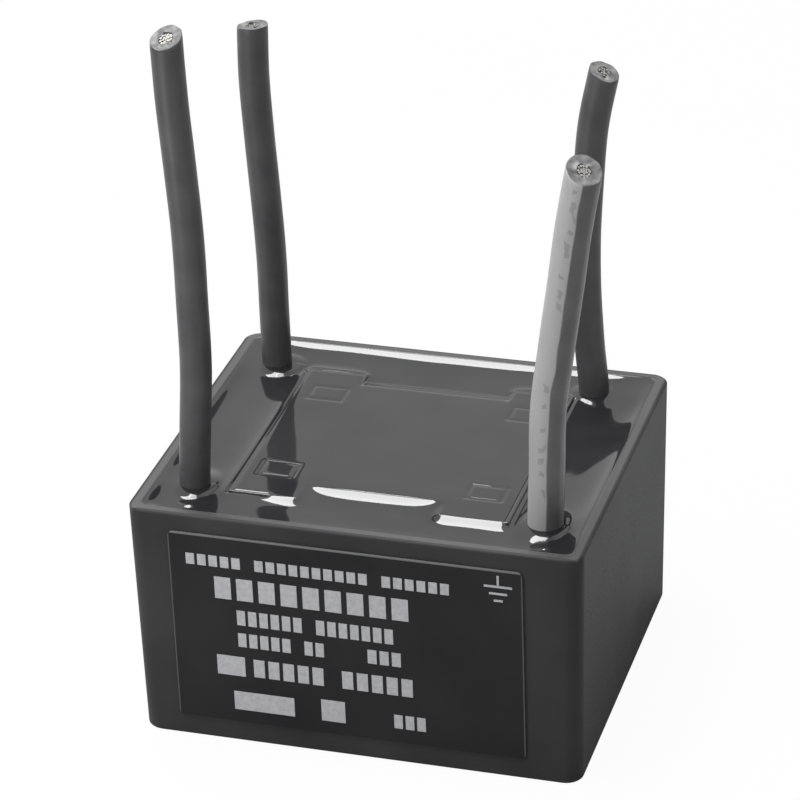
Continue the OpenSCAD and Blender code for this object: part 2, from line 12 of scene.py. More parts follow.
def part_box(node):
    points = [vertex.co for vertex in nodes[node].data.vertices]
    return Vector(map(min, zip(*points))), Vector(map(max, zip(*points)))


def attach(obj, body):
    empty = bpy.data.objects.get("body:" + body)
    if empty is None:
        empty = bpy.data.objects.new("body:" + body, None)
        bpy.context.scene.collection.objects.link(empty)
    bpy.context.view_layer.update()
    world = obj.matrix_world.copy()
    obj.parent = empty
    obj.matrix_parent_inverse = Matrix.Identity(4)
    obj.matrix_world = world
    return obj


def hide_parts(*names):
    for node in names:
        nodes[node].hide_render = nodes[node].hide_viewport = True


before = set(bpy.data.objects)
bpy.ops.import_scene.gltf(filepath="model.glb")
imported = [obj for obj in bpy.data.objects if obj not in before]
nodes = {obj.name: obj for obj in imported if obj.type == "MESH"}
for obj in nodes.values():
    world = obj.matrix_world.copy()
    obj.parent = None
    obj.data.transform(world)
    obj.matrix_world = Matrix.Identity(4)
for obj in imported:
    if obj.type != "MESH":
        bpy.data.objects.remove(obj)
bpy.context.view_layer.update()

# All sizes below are in millimetres, and MM turns them into the frame's metres.
MM = 0.001

# The camera stands where the photograph's camera stood.
CAMERA_AZIMUTH = 17.04
CAMERA_ELEVATION = 27.97
CAMERA_ROLL = -1.93
CAMERA_TARGET = (-8.88, 27.85, 11.53)
CAMERA_DISTANCE = 366.26
FOCAL_PIXELS = 3727.5
FRAME_PIXELS = 800
SENSOR_WIDTH = 36.0


def box_of(node_name):
    """The low and the high corner of a CAD node's box, in millimetres."""
    return [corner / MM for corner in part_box(node_name)]


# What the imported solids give
CASE_HIGH = box_of("case_shell")[1]
RESIN_LOW, RESIN_HIGH = box_of("potting_resin")
COVER_LOW, COVER_HIGH = box_of("holder_cover")
FILL_Z = RESIN_HIGH.z

# The case: how much its walls draw in towards the underside, the radii of its corners and edges,
# and the ribs that carry the board
CASE_DRAFT = 0.3
CORNER_R = 1.5
INNER_CORNER_R = 0.6
BASE_EDGE_R = 0.4
RIM_EDGE_R = 0.25
RIM_INNER_R = 0.3
SEAT_W = 5.0
SEAT_REACH = 2.3
SEAT_H = 1.5
BAY_Y = 0.0

# The cover's middle bar, the recesses between its tabs, and the posts in its windows
BAR_FRONT_Y = -9.65
BAR_BACK_Y = 9.65
RECESS_FRONT_HALF = 6.4
RECESS_BACK_HALF = 7.0
POST_X = 9.55
POST_FRONT_Y = -7.35
POST_BACK_Y = 7.4
POST_HALF = (1.4, 1.0)

# The leads, with the points of their routes as the solids have them. The cut is how much the end
# rises for each millimetre to the right and to the back. The insulation starts at STRIP_Z, the
# strands at TAIL_Z.
LEAD_R = 1.4
EARTH_R = 1.575
CORE_R = 0.6
STRIP_Z = 6.5
TAIL_Z = 1.75
LEADS = {
    "line_lead_1": {
        "radius": LEAD_R,
        "route": [(-16.2, -11, 22.1), (-15.8, -11.2, 28), (-15.3, -11.4, 34.5), (-15.2, -11.6, 41),
                  (-15.2, -11.7, 47), (-15.4, -11.9, 53), (-15.7, -12.1, 59.5), (-15.8, -12.3, 65.6)],
        "cut": (0.15, 0.42),
    },
    "line_lead_2": {
        "radius": LEAD_R,
        "route": [(-16.2, 12.8, 22.1), (-16.1, 12.4, 28), (-16, 12.1, 34), (-16.1, 11.7, 40),
                  (-16.3, 11.4, 46), (-16.4, 11, 52), (-16.2, 10.7, 57.5)],
        "cut": (0.15, -0.1),
    },
    "line_lead_3": {
        "radius": LEAD_R,
        "route": [(14.2, 13.6, 22.1), (13.8, 13.6, 27.5), (13.5, 13.6, 33), (13.5, 13.6, 38.5),
                  (13.8, 13.6, 44), (14.3, 13.6, 49.5), (15.3, 13.6, 54.6)],
        "cut": (-0.2, 0.15),
    },
    "earth_lead": {
        "radius": EARTH_R,
        "route": [(15.8, -11, 22.1), (16.05, -11.2, 28), (16.3, -11.5, 34), (17.1, -11.7, 40),
                  (18, -11.9, 46), (18.8, -12.2, 51.5), (19.8, -12.4, 57.1)],
        "cut": (-0.2, 0.35),
    },
}


def add_camera():
    azimuth, elevation, roll = (
        math.radians(a) for a in (CAMERA_AZIMUTH, CAMERA_ELEVATION, CAMERA_ROLL)
    )
    back = Vector((
        math.sin(azimuth) * math.cos(elevation),
        -math.cos(azimuth) * math.cos(elevation),
        math.sin(elevation),
    ))
    level = Vector((math.cos(azimuth), math.sin(azimuth), 0))
    upright = back.cross(level)
    right = math.cos(roll) * level + math.sin(roll) * upright
    up = math.cos(roll) * upright - math.sin(roll) * level
    data = bpy.data.cameras.new("camera")
    data.sensor_width = SENSOR_WIDTH
    data.lens = FOCAL_PIXELS / FRAME_PIXELS * SENSOR_WIDTH
    data.clip_start = 0.01
    data.clip_end = 20
    camera = bpy.data.objects.new("camera", data)
    camera.matrix_world = Matrix((right, up, back)).transposed().to_4x4()
    camera.location = (Vector(CAMERA_TARGET) + CAMERA_DISTANCE * back) * MM
    bpy.context.scene.collection.objects.link(camera)
    bpy.context.scene.camera = camera


def add_object(name, mesh):
    made = bpy.data.objects.new(name, mesh)
    bpy.context.scene.collection.objects.link(made)
    return made


def mesh_of(name, points, faces):
    """A mesh with its points given in millimetres."""
    mesh = bpy.data.meshes.new(name)
    mesh.from_pydata([tuple(c * MM for c in p) for p in points], [], faces)
    mesh.update()
    return mesh


# Materials

def finish(name, roughness, specular=0.5, metallic=0.0):
    made = bpy.data.materials.new(name)
    made.use_nodes = True
    shader = made.node_tree.nodes["Principled BSDF"]
    shader.inputs["Roughness"].default_value = roughness
    shader.inputs["Specular IOR Level"].default_value = specular
    shader.inputs["Metallic"].default_value = metallic
    return made, shader


def add_node(made, kind, inputs=None, **settings):
    node = made.node_tree.nodes.new(kind)
    for key, value in settings.items():
        setattr(node, key, value)
    for key, value in (inputs or {}).items():
        if isinstance(value, bpy.types.NodeSocket):
            made.node_tree.links.new(value, node.inputs[key])
        else:
            node.inputs[key].default_value = value
    return node


def math_node(made, operation, *values):
    """The result of an operation on values, each a number or a socket."""
    return add_node(made, "ShaderNodeMath", dict(enumerate(values)), operation=operation).outputs[0]


def attribute(made, name):
    """A value that the mesh holds at each point."""
    return add_node(made, "ShaderNodeAttribute", attribute_name=name).outputs["Fac"]


def place_axes(made):
    """Each point's place on the piece's own axes, under X, Y and Z."""
    place = add_node(made, "ShaderNodeTexCoord").outputs["Object"]
    return add_node(made, "ShaderNodeSeparateXYZ", {"Vector": place}).outputs


def grain(made, size, detail=2.0, stretch=(1, 1, 1)):
    """Noise with features about size millimetres across, from 0 to 1."""
    place = add_node(made, "ShaderNodeTexCoord").outputs["Object"]
    scale = tuple(1 / (size * MM * s) for s in stretch)
    mapping = add_node(made, "ShaderNodeMapping", {"Vector": place, "Scale": scale})
    return add_node(made, "ShaderNodeTexNoise", {
        "Vector": mapping.outputs["Vector"], "Scale": 1.0, "Detail": detail,
    }).outputs["Fac"]


def ranged(made, value, low, high, from_low=0.3, from_high=0.7):
    """The value, drawn out from one range to another."""
    return add_node(made, "ShaderNodeMapRange", {
        "Value": value, "From Min": from_low, "From Max": from_high, "To Min": low, "To Max": high,
    }).outputs["Result"]


def mixed(made, factor, first, second):
    """A colour between two, each an RGB tuple or a socket."""
    node = add_node(made, "ShaderNodeMix", data_type="RGBA")
    for key, value in (("A", first), ("B", second)):
        socket = next(s for s in node.inputs if s.name == key and s.type == "RGBA")
        if isinstance(value, bpy.types.NodeSocket):
            made.node_tree.links.new(value, socket)
        else:
            socket.default_value = (*value, 1)
    factor_socket = next(s for s in node.inputs if s.name == "Factor" and s.type == "VALUE")
    made.node_tree.links.new(factor, factor_socket)
    return next(s for s in node.outputs if s.type == "RGBA")


def mottled(made, noise_value, tones):
    """A colour that wanders between two tones."""
    return mixed(made, ranged(made, noise_value, 0, 1), *tones)


def connect(made, value, shader, socket):
    made.node_tree.links.new(value, shader.inputs[socket])


def textured(made, shader, colour, roughness, *layers):
    """The material with its colour, its roughness and its bumps. Each layer of these is a height
    from 0 to 1 and its depth in millimetres."""
    connect(made, colour, shader, "Base Color")
    connect(made, roughness, shader, "Roughness")
    normal = None
    for height, depth in layers:
        inputs = {"Height": height, "Distance": depth * MM, "Strength": 1.0}
        if normal is not None:
            inputs["Normal"] = normal
        normal = add_node(made, "ShaderNodeBump", inputs).outputs["Normal"]
    connect(made, normal, shader, "Normal")
    return made


# Moulded plastic: the sizes of its satin texture and its flow marks, and the width and depth of
# the hollows where it sank as it cooled
SATIN_SIZE = 0.16
FLOW_SIZE = 9
SINK_SIZE = 14
SINK_DEPTH = 0.05

# The case is satin, and its rim is smoother where the resin wetted it. That part fades in between
# two heights and between two distances in from the outer faces.
CASE_TONES = ((0.024, 0.024, 0.025), (0.033, 0.033, 0.034))
CASE_SPECULAR = 0.06
CASE_ROUGHNESS = (0.40, 0.52)
RIM_TONE = (0.032, 0.032, 0.033)
RIM_SPECULAR = 0.45
RIM_ROUGHNESS = (0.36, 0.46)
RIM_WET_Z = (22.6, 22.9)
RIM_WET_IN = (0.26, 0.42)

HOLDER_TONES = ((0.014, 0.014, 0.015), (0.02, 0.02, 0.021))
COVER_TONES = ((0.020, 0.020, 0.021), (0.028, 0.028, 0.029))

# The label's painted highlight, which stands for light caught on its raised edges, fades in between two
# distances from its top and from its sides.
LABEL_TONES = ((0.010, 0.010, 0.011), (0.015, 0.015, 0.016))
LABEL_HIGHLIGHT_TONE = (0.11, 0.11, 0.112)
LABEL_TOP_HIGHLIGHT = (0.16, 0.1)
LABEL_SIDE_HIGHLIGHT = (0.14, 0.08)
LABEL_SIDE_HIGHLIGHT_SHARE = 0.5

# The resin is darker in its pools than where it is a film over the cover.
POOL_TONES = ((0.011, 0.011, 0.012), (0.016, 0.016, 0.017))
POOL_SPECULAR = 0.44
FILM_TONES = ((0.017, 0.017, 0.018), (0.022, 0.022, 0.023))
FILM_SPECULAR = 0.35
FILM_FADE = 0.4

DARK_INSULATION_TONES = ((0.042, 0.042, 0.044), (0.060, 0.060, 0.062))
CUT_TONES = ((0.055, 0.055, 0.057), (0.15, 0.15, 0.152))

# The earth lead's tones, and where one gives way to the next, as shares of a turn round it
PALE = (0.285, 0.285, 0.285, 1)
DEEP = (0.072, 0.072, 0.075, 1)
FAINT = (0.105, 0.105, 0.108, 1)
STRIPE_EDGES = ((0.47, PALE), (0.787, DEEP), (0.918, FAINT), (0.985, DEEP))
STRIPE_FADE = 0.006
STRIPE_WANDER = 0.012
WORN_TONE = (0.2, 0.2, 0.2)
WORN_MOST = 0.16

# The row of small marks printed along it: where it runs round the lead, how far it strays and
# half its width, as shares of a turn, and its spacings and lengths in millimetres
MARK_TONE = (0.12, 0.12, 0.12)
MARK_STRENGTH = 0.45
MARK_AROUND = 0.74
MARK_STRAY = 0.02
MARK_HALF = 0.024
MARK_PITCH = 1.9
MARK_SHIFT = 1.1
MARK_LENGTHS = (0.3, 1.2)
MARK_GROUP_PITCH = 19.0
MARK_GROUP_LENGTH = 12.0


def wetted_rim(made):
    """1 on the rim where the resin wetted it, and 0 on its outer rounding and on the faces."""
    axes = place_axes(made)
    low, high = (z * MM for z in RIM_WET_Z)
    past = []
    for axis, half in (("X", CASE_HIGH.x), ("Y", CASE_HIGH.y)):
        off_middle = math_node(made, "ABSOLUTE", axes[axis])
        past.append(math_node(made, "SUBTRACT", off_middle, half * MM))
    near, far = RIM_WET_IN
    inwards = ranged(made, math_node(made, "MAXIMUM", *past), 1, 0, -far * MM, -near * MM)
    return math_node(made, "MULTIPLY", ranged(made, axes["Z"], 0, 1, low, high), inwards)


def case_plastic():
    made, shader = finish("case_black", roughness=0.45, specular=0.25)
    satin = grain(made, SATIN_SIZE, 4)
    rim = wetted_rim(made)
    colour = mixed(made, rim, mottled(made, grain(made, FLOW_SIZE, 3), CASE_TONES), RIM_TONE)
    connect(made, ranged(made, rim, CASE_SPECULAR, RIM_SPECULAR, 0, 1), shader, "Specular IOR Level")
    rough = add_node(made, "ShaderNodeMix", {
        "Factor": rim,
        "A": ranged(made, satin, *CASE_ROUGHNESS),
        "B": ranged(made, satin, *RIM_ROUGHNESS),
    }, data_type="FLOAT").outputs["Result"]
    sink = grain(made, SINK_SIZE, 1)
    return textured(made, shader, colour, rough, (sink, SINK_DEPTH), (satin, 0.007))


def holder_plastic():
    made, shader = finish("holder_black", roughness=0.2)
    satin = grain(made, SATIN_SIZE, 4)
    colour = mottled(made, grain(made, FLOW_SIZE, 3), HOLDER_TONES)
    rough, sink = ranged(made, satin, 0.14, 0.26), grain(made, SINK_SIZE, 1)
    return textured(made, shader, colour, rough, (sink, SINK_DEPTH), (satin, 0.012))


def label_black():
    """Smooth film, with a painted highlight along its top edge and a fainter one along its sides."""
    made, shader = finish("label_black", roughness=0.36, specular=0.1)
    low, high = box_of("rating_label")
    middle, half = (low.x + high.x) / 2, (high.x - low.x) / 2
    axes = place_axes(made)
    off_middle = math_node(made, "ABSOLUTE", math_node(made, "SUBTRACT", axes["X"], middle * MM))
    # Painted highlight: the film is paler towards its top edge, and more faintly towards its side edges,
    # where light catches the raised label.
    start, full = LABEL_TOP_HIGHLIGHT
    top_highlight = ranged(made, axes["Z"], 0, 1, (high.z - start) * MM, (high.z - full) * MM)
    start, full = LABEL_SIDE_HIGHLIGHT
    side = ranged(made, off_middle, 0, LABEL_SIDE_HIGHLIGHT_SHARE, (half - start) * MM, (half - full) * MM)
    film = mottled(made, grain(made, FLOW_SIZE, 3), LABEL_TONES)
    colour = mixed(made, math_node(made, "MAXIMUM", top_highlight, side), film, LABEL_HIGHLIGHT_TONE)
    fine, sink = grain(made, 0.2, 4), grain(made, SINK_SIZE, 1)
    rough = ranged(made, fine, 0.32, 0.42)
    return textured(made, shader, colour, rough, (sink, 0.04), (fine, 0.004))


def over_cover(made):
    """1 where the resin is only a film over the cover and 0 over the pools."""
    axes = place_axes(made)
    shares = []
    for axis, half in (("X", COVER_HIGH.x), ("Y", BAR_BACK_Y - FILM_FADE)):
        off_middle = math_node(made, "ABSOLUTE", axes[axis])
        shares.append(ranged(made, off_middle, 1, 0, (half - FILM_FADE) * MM, half * MM))
    return math_node(made, "MULTIPLY", *shares)


def cast_resin():
    made, shader = finish("resin_black", roughness=0.05, specular=0.45)
    cloud = grain(made, 6, 2)
    share = over_cover(made)
    colour = mixed(made, share, mottled(made, cloud, POOL_TONES), mottled(made, cloud, FILM_TONES))
    connect(made, ranged(made, share, POOL_SPECULAR, FILM_SPECULAR, 0, 1), shader, "Specular IOR Level")
    rough = ranged(made, grain(made, 1.2, 3), 0.03, 0.075)
    wave, fine = grain(made, 4.5, 1), grain(made, 0.9, 2)
    return textured(made, shader, colour, rough, (wave, 0.012), (fine, 0.0012))


def wetted_cover():
    made, shader = finish("cover_black", roughness=0.09)
    colour = mottled(made, grain(made, 7, 2), COVER_TONES)
    rough = ranged(made, grain(made, 1.5, 3), 0.06, 0.13)
    wave, fine = grain(made, 8, 1), grain(made, 1.1, 3)
    return textured(made, shader, colour, rough, (wave, 0.02), (fine, 0.0015))


def extruded_vinyl(name, tint, roughness):
    """Faint lines along the lead, a slightly uneven skin, and pale, uneven cut faces. The tint is
    a function that gives the skin's colour."""
    made, shader = finish(name, roughness=0.4, specular=0.25)
    torn = mottled(made, grain(made, 0.7, 4), CUT_TONES)
    colour = mixed(made, attribute(made, "cut"), tint(made), torn)
    lines = grain(made, 0.35, 3, stretch=(1, 1, 18))
    rough, skin = ranged(made, lines, *roughness), grain(made, 1.6, 2)
    return textured(made, shader, colour, rough, (skin, 0.02), (lines, 0.012))


def dark_tint(made):
    return mottled(made, grain(made, 3, 3), DARK_INSULATION_TONES)


def stripe(made, around):
    """The tones round the earth lead, whose edges wander a little."""
    wander = ranged(made, grain(made, 5, 2), -STRIPE_WANDER, STRIPE_WANDER)
    made_ramp = add_node(made, "ShaderNodeValToRGB", {"Fac": math_node(made, "ADD", around, wander)})
    ramp = made_ramp.color_ramp
    before = STRIPE_EDGES[-1][1]
    for element, position in zip(ramp.elements, (0.0, 1.0)):
        element.position = position
        element.color = before
    for edge, tone in STRIPE_EDGES:
        ramp.elements.new(edge - STRIPE_FADE).color = before
        ramp.elements.new(edge + STRIPE_FADE).color = tone
        before = tone
    return made_ramp.outputs["Color"]


def printed_marks(made, around):
    """How strongly the marks show: irregular dashes in groups, which spell nothing."""
    along = attribute(made, "along")
    row = ranged(made, grain(made, 1.1, 2), MARK_AROUND - MARK_STRAY, MARK_AROUND + MARK_STRAY)
    in_row = math_node(made, "COMPARE", around, row, MARK_HALF)
    shifted = math_node(made, "ADD", along, ranged(made, grain(made, 3.4, 1), -MARK_SHIFT, MARK_SHIFT))
    cycle = math_node(made, "MODULO", shifted, MARK_PITCH)
    dash = math_node(made, "LESS_THAN", cycle, ranged(made, grain(made, 2.1, 1), *MARK_LENGTHS))
    group = math_node(made, "MODULO", along, MARK_GROUP_PITCH)
    in_group = math_node(made, "LESS_THAN", group, MARK_GROUP_LENGTH)
    mark = math_node(made, "MULTIPLY", in_row, math_node(made, "MULTIPLY", dash, in_group))
    return math_node(made, "MULTIPLY", mark, MARK_STRENGTH)


def striped_tint(made):
    """Two tones that run along the lead, with faint marks printed on the pale one."""
    around = attribute(made, "around")
    marked = mixed(made, printed_marks(made, around), stripe(made, around), MARK_TONE)
    return mixed(made, ranged(made, grain(made, 2.5, 3), 0, WORN_MOST), marked, WORN_TONE)


def metal(name, dark, light, roughness, size=0.5):
    made, shader = finish(name, roughness, metallic=1.0)
    worn = grain(made, size, 3)
    colour = mottled(made, worn, (dark, light))
    rough = ranged(made, worn, roughness - 0.08, roughness + 0.1)
    return textured(made, shader, colour, rough, (grain(made, size / 3, 3), 0.006))


def matte(name, dark, light, roughness, size, depth, specular=0.4):
    made, shader = finish(name, roughness, specular)
    mottle = grain(made, size, 4)
    colour = mottled(made, mottle, (dark, light))
    rough = ranged(made, mottle, roughness - 0.05, roughness + 0.05)
    return textured(made, shader, colour, rough, (grain(made, size / 4, 3), depth))


def woven_board():
    """Green lacquer over a glass weave."""
    made, shader = finish("board_green", roughness=0.3)
    weave = add_node(made, "ShaderNodeTexBrick", {
        "Vector": add_node(made, "ShaderNodeTexCoord").outputs["Object"],
        "Scale": 1 / MM, "Color1": (1, 1, 1, 1), "Color2": (0.8, 0.8, 0.8, 1), "Mortar": (0, 0, 0, 1),
    }).outputs["Color"]
    mottle = grain(made, 3, 3)
    colour = mottled(made, mottle, ((0.012, 0.10, 0.035), (0.02, 0.14, 0.05)))
    return textured(made, shader, colour, ranged(made, mottle, 0.25, 0.38), (weave, 0.01))


def dress(node_name, made):
    """Gives a CAD node its material."""
    piece = nodes[node_name]
    piece.data.materials.clear()
    piece.data.materials.append(made)


def soften(node_name, width, segments=3):
    """Rounds a CAD node's sharp edges by modifiers, which leave its own mesh alone."""
    piece = nodes[node_name]
    weld = piece.modifiers.new("weld", "WELD")
    weld.merge_threshold = 0.002 * MM
    bevel = piece.modifiers.new("edges", "BEVEL")
    bevel.width = width * MM
    bevel.segments = segments
    bevel.limit_method = "ANGLE"
    bevel.angle_limit = math.radians(35)
    bevel.harden_normals = True
    bevel.use_clamp_overlap = True


def ring_faces(rows, n, start=0):
    """The faces between neighbouring rings of n points each."""
    faces = []
    for row in range(rows - 1):
        for side in range(n):
            a, b = start + row * n + side, start + row * n + (side + 1) % n
            faces.append((a, b, b + n, a + n))
    return faces


# The case

EDGE_STEPS = 6
CORNER_STEPS = 12
WALL_STEPS = 12
INNER_MIDDLE_Z = 12.0
RIB_SUNK = 0.3


def rounded_outline(half_w, half_d, radius):
    """Points of a rounded rectangle, anticlockwise from its right side."""
    points = []
    for turn, (sx, sy) in enumerate(((1, 1), (-1, 1), (-1, -1), (1, -1))):
        for k in range(CORNER_STEPS + 1):
            angle = math.pi / 2 * (turn + k / CORNER_STEPS)
            points.append((
                sx * (half_w - radius) + radius * math.cos(angle),
                sy * (half_d - radius) + radius * math.sin(angle),
            ))
    return points


def case_levels():
    """The case's section, up its outside, over its rim and down its inside: the half width, half
    depth, corner radius and height of each level."""
    levels = []

    def outer(z, pull):
        inset = CASE_DRAFT * (1 - z / CASE_HIGH.z) + pull
        levels.append((CASE_HIGH.x - inset, CASE_HIGH.y - inset, CORNER_R, z))

    def inner(z, spread):
        levels.append((RESIN_HIGH.x + spread, RESIN_HIGH.y + spread, INNER_CORNER_R + spread, z))

    turns = [math.pi / 2 * k / EDGE_STEPS for k in range(EDGE_STEPS + 1)]
    for a in turns:
        outer(BASE_EDGE_R * (1 - math.cos(a)), BASE_EDGE_R * (1 - math.sin(a)))
    wall_h = CASE_HIGH.z - RIM_EDGE_R - BASE_EDGE_R
    for k in range(1, WALL_STEPS):
        outer(BASE_EDGE_R + wall_h * k / WALL_STEPS, 0)
    for a in turns:
        outer(CASE_HIGH.z - RIM_EDGE_R * (1 - math.sin(a)), RIM_EDGE_R * (1 - math.cos(a)))
    for a in turns:
        inner(CASE_HIGH.z - RIM_INNER_R * (1 - math.cos(a)), RIM_INNER_R * (1 - math.sin(a)))
    for z in (FILL_Z, INNER_MIDDLE_Z, RESIN_LOW.z):
        inner(z, 0)
    return levels


def box_into(bm, low, high):
    made = bmesh.ops.create_cube(bm, size=1)
    for v in made["verts"]:
        v.co = Vector(tuple(
            (lo + hi) / 2 + c * (hi - lo) for c, lo, hi in zip(v.co, low, high)
        )) * MM


def add_ribs(case):
    """Joins on the four ribs inside that carry the board, one at each wall."""
    bm = bmesh.new()
    low_z, high_z = RESIN_LOW.z - RIB_SUNK, RESIN_LOW.z + SEAT_H
    for side in (-1, 1):
        x = sorted((side * (RESIN_HIGH.x + RIB_SUNK), side * (RESIN_HIGH.x - SEAT_REACH)))
        box_into(bm, (x[0], BAY_Y - SEAT_W / 2, low_z), (x[1], BAY_Y + SEAT_W / 2, high_z))
        y = sorted((side * (RESIN_HIGH.y + RIB_SUNK), side * (RESIN_HIGH.y - SEAT_REACH)))
        box_into(bm, (-SEAT_W / 2, y[0], low_z), (SEAT_W / 2, y[1], high_z))
    mesh = bpy.data.meshes.new("ribs")
    bm.to_mesh(mesh)
    bm.free()
    ribs = add_object("ribs", mesh)
    union = case.modifiers.new("ribs", "BOOLEAN")
    union.operation = "UNION"
    union.solver = "EXACT"
    union.object = ribs
    apply_modifiers(case)
    bpy.data.objects.remove(ribs)


def make_case():
    """The moulded box with its ribs."""
    levels = case_levels()
    points = []
    for half_w, half_d, radius, z in levels:
        points += [(x, y, z) for x, y in rounded_outline(half_w, half_d, radius)]
    n = len(points) // len(levels)
    faces = ring_faces(len(levels), n)
    faces.append(tuple(reversed(range(n))))
    faces.append(tuple(range(len(points) - n, len(points))))
    case = add_object("case_box", mesh_of("case_box", points, faces))
    add_ribs(case)
    shade(case, 40)
    weigh = case.modifiers.new("normals", "WEIGHTED_NORMAL")
    weigh.keep_sharp = True
    weigh.weight = 100
    return case


def apply_modifiers(piece):
    seen = piece.evaluated_get(bpy.context.evaluated_depsgraph_get())
    mesh = bpy.data.meshes.new_from_object(seen)
    piece.modifiers.clear()
    piece.data = mesh


def shade(piece, angle):
    """Smooth shading, with edges sharper than the angle kept crisp."""
    mesh = piece.data
    mesh.shade_smooth()
    mesh.set_sharp_from_angle(angle=math.radians(angle))


# The resin's surface

# The spacing of its points, and the height of a pool away from all that it wets
GRID = 0.13
LEVEL = 22.05
# How far a wetted wall's pull reaches, and how the surface is settled
CAPILLARY = 1.3
RELAX_ROUNDS = 260
RELAX_GAIN = 1.7
# The film on the cover, and the heights where the resin meets the walls. The front one rises to
# the side one over CORNER_CLIMB, and at the back the resin reaches a little on to the rim.
FILM_Z = 22.8
WALL_CONTACT = {"front": 22.35, "side": 22.93, "back": 23.02}
CORNER_CLIMB = 3.0
BACK_REACH = 0.4
# How much the pools stand higher at the back, and between which two places they rise
BACK_RISE = (0.3, 10.5, 15.8)
# A pool that is fuller than the others: its middle, its width and how much it holds more
FULLER = (-12.2, -12.6, 2.2, 0.5)
# The fill between each lead and the side wall: its height, distance from the middle and width
GAP_FILL = (0.5, 18.4, 1.6)
# The bead round each lead's foot: its height, how soft its bends are, and between which two
# distances from the lead it falls off at the sides. Each lead's own values are these distances in
# front, how far aside its front lies and how wide that is, and how far the whole bead lies aside.
BEAD_H = 0.53
BEAD_CORNER = 0.09
BEAD_SIDE = (0.05, 2.3)
BEADS = {
    "line_lead_1": ((0.82, 1.57), (0.8, 1.0), 0.1),
    "line_lead_2": ((0.68, 1.42), (1.4, 1.6), 0.6),
    "line_lead_3": ((0.4, 1.1), (-0.3, 0.9), 0.0),
    "earth_lead": ((0.75, 1.5), (1.05, 1.0), 0.1),
}
# The ripple in front of a front lead: its height, distance from the lead, width and half length
RIPPLE = (0.17, 2.3, 0.26, 0.6)
# How fast the resin falls off behind the cover's bar, and how its creases are rounded
RECESS_FALL = 0.37
LEVEL_SOFTNESS = 0.03
BLUR = 0.2
# Grooves, each a depth and a width: round the post windows, along the cover's edges, and a finer
# one along those at the back. The front left tab's ends at a share of the cover's half width.
WINDOW_GAP = 0.2
WINDOW_GROOVE = (0.088, 0.15)
SEAM_OUTSET = 0.02
SEAM_GROOVE = (0.15, 0.16)
BACK_GROOVE = (0.06, 0.1)
TAB_SEAM_END = 0.72
# How it rolls down at the cover's sides: the depth, and the widths inside and outside
EDGE_ROLL = (0.045, 0.75, 0.25)
# Slow unevenness: its height and size, and the seed of its noise
UNEVEN = (0.008, 3.1, 4.2)
# The skin's overlap with the walls, the radius of its holes, its least height over the solid
# resin, how deep it is sunk into the resin and the cover, and how far in its hidden step lies
OVERLAP = 0.1
HOLE_R = 1.22
SKIN_LEAST = 0.03
SKIN_SUNK = 0.05
FILM_SUNK = 0.03
HIDDEN_INSET = 0.3


def inside_cover(x, y, inset):
    """Whether points lie in the cover's outline, drawn in by the inset."""
    across = np.abs(x) < COVER_HIGH.x - inset
    deep = (y > COVER_LOW.y + inset) & (y < COVER_HIGH.y - inset)
    front = (np.abs(x) < RECESS_FRONT_HALF + inset) & (y < BAR_FRONT_Y + inset)
    back = (np.abs(x) < RECESS_BACK_HALF + inset) & (y > BAR_BACK_Y - inset)
    return across & deep & ~front & ~back


def cover_outline(inset):
    """The cover's outline, drawn in by the inset, anticlockwise from the front recess's right
    inner corner."""
    right, front, back = COVER_HIGH.x - inset, COVER_LOW.y + inset, COVER_HIGH.y - inset
    front_half, back_half = RECESS_FRONT_HALF + inset, RECESS_BACK_HALF + inset
    bar_front, bar_back = BAR_FRONT_Y + inset, BAR_BACK_Y - inset
    half = [
        (front_half, bar_front), (front_half, front), (right, front),
        (right, back), (back_half, back), (back_half, bar_back),
    ]
    return half + [(-a, b) for a, b in reversed(half)]


def unevenness(x, y, size, seed):
    """Smooth noise from about -1 to 1 on a grid, with features of the given size."""
    value = np.zeros_like(x)
    for i in range(x.shape[0]):
        for j in range(x.shape[1]):
            value[i, j] = noise.noise(Vector((x[i, j] / size, y[i, j] / size, seed)))
    return value


def blurred(field, sigma):
    """The field with its sharp creases rounded."""
    reach = math.ceil(3 * sigma)
    weights = np.exp(-0.5 * (np.arange(-reach, reach + 1) / sigma) ** 2)
    weights /= weights.sum()
    for axis in (0, 1):
        pad = [(0, 0), (0, 0)]
        pad[axis] = (reach, reach)
        wide = np.pad(field, pad, mode="edge")
        long = field.shape[axis]
        field = sum(w * np.take(wide, range(k, k + long), axis) for k, w in enumerate(weights))
    return field


def eased(share):
    """The share, held between 0 and 1, with a soft start and end."""
    t = np.clip(share, 0, 1)
    return t * t * (3 - 2 * t)


def bell(distance, width):
    return np.exp(-0.5 * (distance / width) ** 2)


def softly_higher(first, second):
    """The higher of two heights, with the crease between them rounded."""
    return LEVEL_SOFTNESS * np.logaddexp(first / LEVEL_SOFTNESS, second / LEVEL_SOFTNESS)


def off_segment(x, y, start, end):
    """How far points lie from a straight line between two points."""
    (ax, ay), (bx, by) = start, end
    long = (bx - ax) ** 2 + (by - ay) ** 2
    t = np.clip(((x - ax) * (bx - ax) + (y - ay) * (by - ay)) / long, 0, 1)
    return np.hypot(x - ax - t * (bx - ax), y - ay - t * (by - ay))


def groove(x, y, corners, size):
    """The depth of a shallow groove along a line of corners."""
    depth, width = size
    gap = np.full_like(x, np.inf)
    for start, end in zip(corners, corners[1:]):
        gap = np.minimum(gap, off_segment(x, y, start, end))
    return depth * bell(gap, width)


def pool_level(x, y):
    """The height that the resin would have if it wetted nothing."""
    cx, cy, size, more = FULLER
    level = LEVEL + more * bell(np.hypot(x - cx, y - cy), size)
    rise, start, end = BACK_RISE
    return level + rise * eased((y - start) / (end - start))


def gap_fill(x, y):
    """What stands higher between the leads and the side walls."""
    height, off_middle, size = GAP_FILL
    total = np.zeros_like(x)
    for lead in LEADS.values():
        cx, cy, _ = lead["route"][0]
        total += height * bell(np.hypot(x - math.copysign(off_middle, cx), y - cy), size)
    return total


